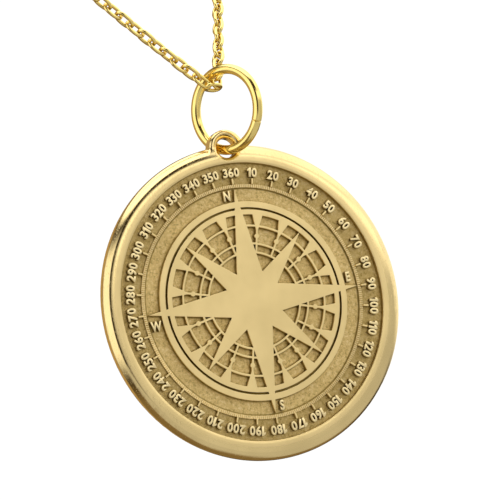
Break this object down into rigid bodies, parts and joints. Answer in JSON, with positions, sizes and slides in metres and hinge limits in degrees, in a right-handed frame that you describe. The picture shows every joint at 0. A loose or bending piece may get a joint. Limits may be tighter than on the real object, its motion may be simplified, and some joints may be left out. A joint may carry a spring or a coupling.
{
  "type": "compass pendant necklace",
  "caption": "Round gold compass medallion with a raised eight-point rose and degree scale, hung by a jump ring on a fine cable chain.",
  "frame": {"origin": "at the nape, in the middle of the clasp, where the necklace lies on the back of the neck", "axes": "+Z plumb up as worn, +Y from the chest to the nape, +X to the viewer's right; the medallion hangs at the front, low and towards -Y"},
  "size_m": [0.1148, 0.1387, 0.1458],
  "materials": {
    "medallion_gold": "yellow gold: satin raised work and rim, fine matte blasted field",
    "polished_gold": "polished yellow gold wire",
    "chain_gold": "polished yellow gold links"
  },
  "bodies": {
    "necklace": {"chain_left": "chain_gold", "chain_right": "chain_gold", "clasp": "polished_gold"},
    "ring": {"jump_ring": "polished_gold"},
    "pendant": {"medallion": "medallion_gold"}
  },
  "joints": [
    {"name": "ring_swing", "type": "hinge", "parent": "necklace", "child": "ring", "pos_m": [0, -0.132, -0.113], "axis": [1, 0, 0], "range_deg": [-60, 60]},
    {"name": "pendant_swing", "type": "hinge", "parent": "ring", "child": "pendant", "pos_m": [0, -0.132, -0.11815], "axis": [0, 0.9563, 0.2924], "range_deg": [-30, 30]}
  ]
}
